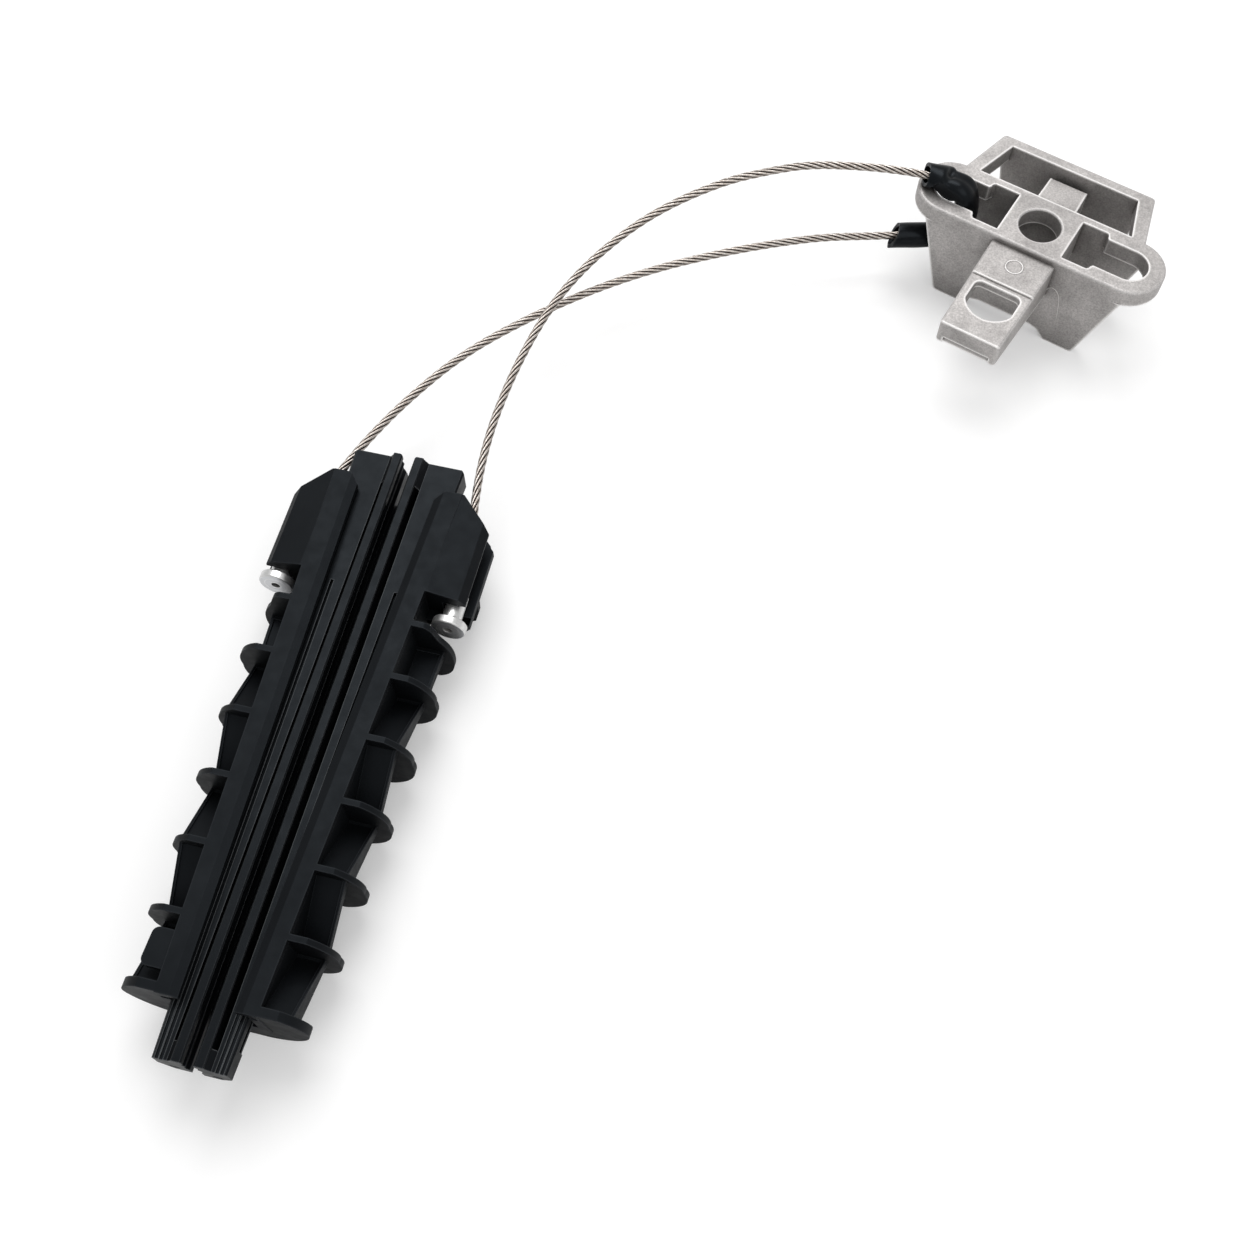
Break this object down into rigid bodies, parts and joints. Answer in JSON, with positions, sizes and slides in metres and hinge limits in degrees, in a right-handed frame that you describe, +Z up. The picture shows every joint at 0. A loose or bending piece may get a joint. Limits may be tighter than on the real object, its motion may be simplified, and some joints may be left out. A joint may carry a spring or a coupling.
{
  "type": "anchor clamp",
  "caption": "Wedge-type anchor clamp for aerial cable: finned moulded body with sliding jaw wedges, a wire rope bail and a cast pole bracket.",
  "frame": {"origin": "on the surface below the part, under the middle of the box of the clamp body, its wedges and the bracket", "axes": "+Y along the clamp's trough towards the rope end, +X across the clamp towards the bracket, +Z up from the surface"},
  "size_m": [0.3791, 0.5382, 0.0672],
  "materials": {
    "clamp_plastic": "black glass-filled nylon, satin, fine moulded grain",
    "wedge_plastic": "black glass-filled nylon, satin",
    "rope_steel": "laid stainless wire",
    "ferrule_steel": "bright turned",
    "sleeve_rubber": "black heat-shrunk rubber, satin",
    "cast_aluminium": "tumbled die casting, fine speckle"
  },
  "bodies": {
    "clamp": {"clamp_body": "clamp_plastic"},
    "left_wedge": {"wedge_left": "wedge_plastic"},
    "right_wedge": {"wedge_right": "wedge_plastic"},
    "bail": {"bail_rope": "rope_steel", "ferrule_left": "ferrule_steel", "ferrule_right": "ferrule_steel", "rope_sleeve": "sleeve_rubber"},
    "pole_bracket": {"bracket": "cast_aluminium"}
  },
  "joints": [
    {"name": "left_wedge_slide", "type": "slide", "parent": "clamp", "child": "left_wedge", "axis": [-0.0397, 0.9992, 0], "range_m": [-0.06, 0]},
    {"name": "right_wedge_slide", "type": "slide", "parent": "clamp", "child": "right_wedge", "axis": [0.0397, 0.9992, 0], "range_m": [-0.06, 0]},
    {"name": "bail_slide", "type": "slide", "parent": "clamp", "child": "bail", "axis": [0, 1, 0], "range_m": [-0.002, 0.0022]},
    {"name": "bracket_swing", "type": "hinge", "parent": "bail", "child": "pole_bracket", "pos_m": [0.07227, 0.22954, 0.04925], "axis": [-0.3256, -0.9455, 0], "range_deg": [-1, 45]}
  ]
}
